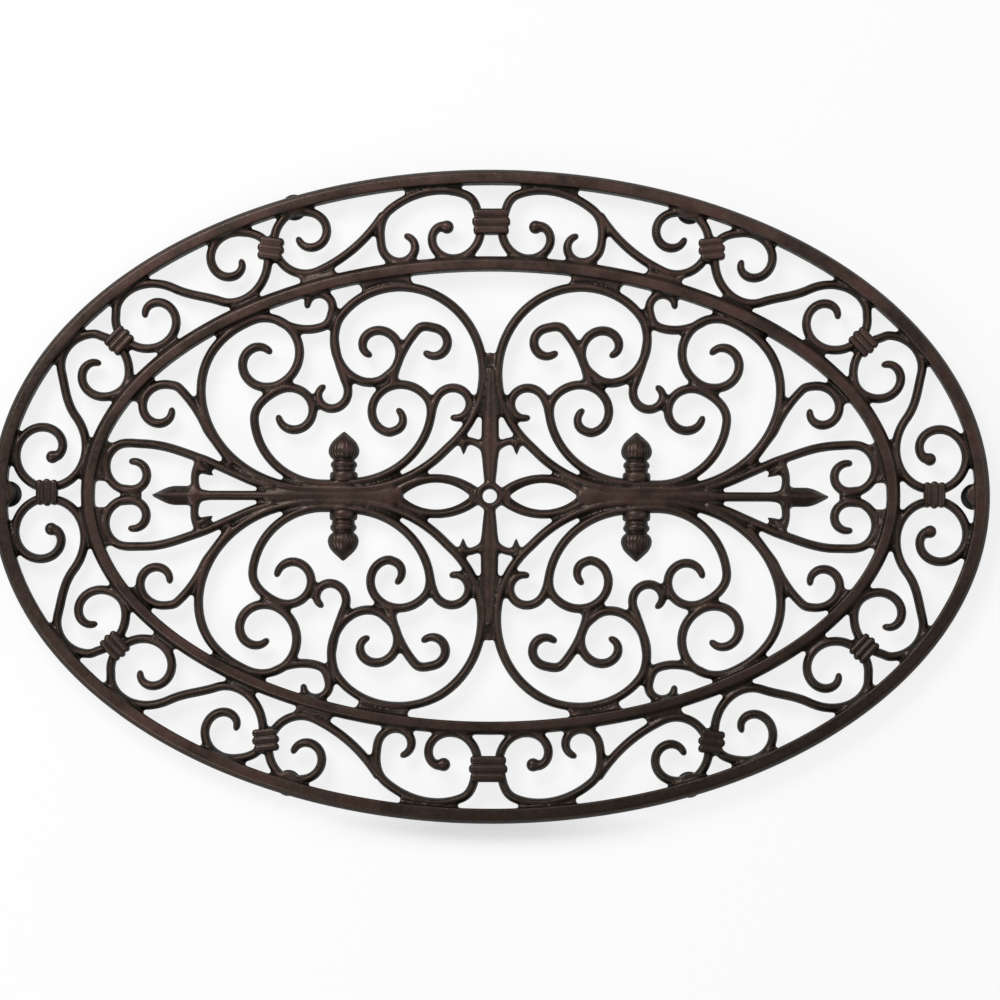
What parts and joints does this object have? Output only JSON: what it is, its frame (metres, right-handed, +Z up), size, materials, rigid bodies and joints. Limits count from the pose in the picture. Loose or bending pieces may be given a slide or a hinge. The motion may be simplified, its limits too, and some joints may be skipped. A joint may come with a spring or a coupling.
{
  "type": "door mat",
  "caption": "Oval cast iron door mat of pierced scrollwork between two flat-topped rims, lying flat on rubber feet under its outer edge.",
  "frame": {"origin": "on the floor, under the centre of the oval", "axes": "+X along the mat's length, +Y across it, +Z up out of its patterned face"},
  "size_m": [0.65, 0.43, 0.0162],
  "materials": {
    "cast_iron": "dark brown-black antiqued cast iron, satin on the rims, with fine pits",
    "rubber": "matt black rubber"
  },
  "bodies": {
    "root": {"outer_rim": "cast_iron", "inner_rim": "cast_iron", "cartouche_scroll_upper_right": "cast_iron", "cartouche_scroll_upper_left": "cast_iron", "cartouche_scroll_lower_left": "cast_iron", "cartouche_scroll_lower_right": "cast_iron", "shoulder_scroll_upper_right": "cast_iron", "shoulder_scroll_upper_left": "cast_iron", "shoulder_scroll_lower_left": "cast_iron", "shoulder_scroll_lower_right": "cast_iron", "diagonal_scroll_upper_right": "cast_iron", "diagonal_scroll_upper_left": "cast_iron", "diagonal_scroll_lower_left": "cast_iron", "diagonal_scroll_lower_right": "cast_iron", "side_scroll_upper_right": "cast_iron", "side_scroll_upper_left": "cast_iron", "side_scroll_lower_left": "cast_iron", "side_scroll_lower_right": "cast_iron", "heart_scroll_upper_right": "cast_iron", "heart_scroll_upper_left": "cast_iron", "heart_scroll_lower_left": "cast_iron", "heart_scroll_lower_right": "cast_iron", "crown_scroll_upper_right": "cast_iron", "crown_scroll_upper_left": "cast_iron", "crown_scroll_lower_left": "cast_iron", "crown_scroll_lower_right": "cast_iron", "wing_scroll_upper_right": "cast_iron", "wing_scroll_upper_left": "cast_iron", "wing_scroll_lower_left": "cast_iron", "wing_scroll_lower_right": "cast_iron", "end_scroll_upper_right": "cast_iron", "end_scroll_upper_left": "cast_iron", "end_scroll_lower_left": "cast_iron", "end_scroll_lower_right": "cast_iron", "finial_upper_right": "cast_iron", "finial_upper_left": "cast_iron", "finial_lower_left": "cast_iron", "finial_lower_right": "cast_iron", "shoulder_collar_upper_right": "cast_iron", "shoulder_collar_upper_left": "cast_iron", "shoulder_collar_lower_left": "cast_iron", "shoulder_collar_lower_right": "cast_iron", "corner_collar_upper_right": "cast_iron", "corner_collar_upper_left": "cast_iron", "corner_collar_lower_left": "cast_iron", "corner_collar_lower_right": "cast_iron", "axis_collar_top": "cast_iron", "axis_collar_bottom": "cast_iron", "axis_collar_right": "cast_iron", "axis_collar_left": "cast_iron", "centre_rosette": "cast_iron", "spear_right": "cast_iron", "spear_left": "cast_iron", "rubber_foot_right": "rubber", "rubber_foot_left": "rubber", "rubber_foot_upper_right": "rubber", "rubber_foot_upper_left": "rubber", "rubber_foot_lower_left": "rubber", "rubber_foot_lower_right": "rubber"}
  },
  "joints": []
}
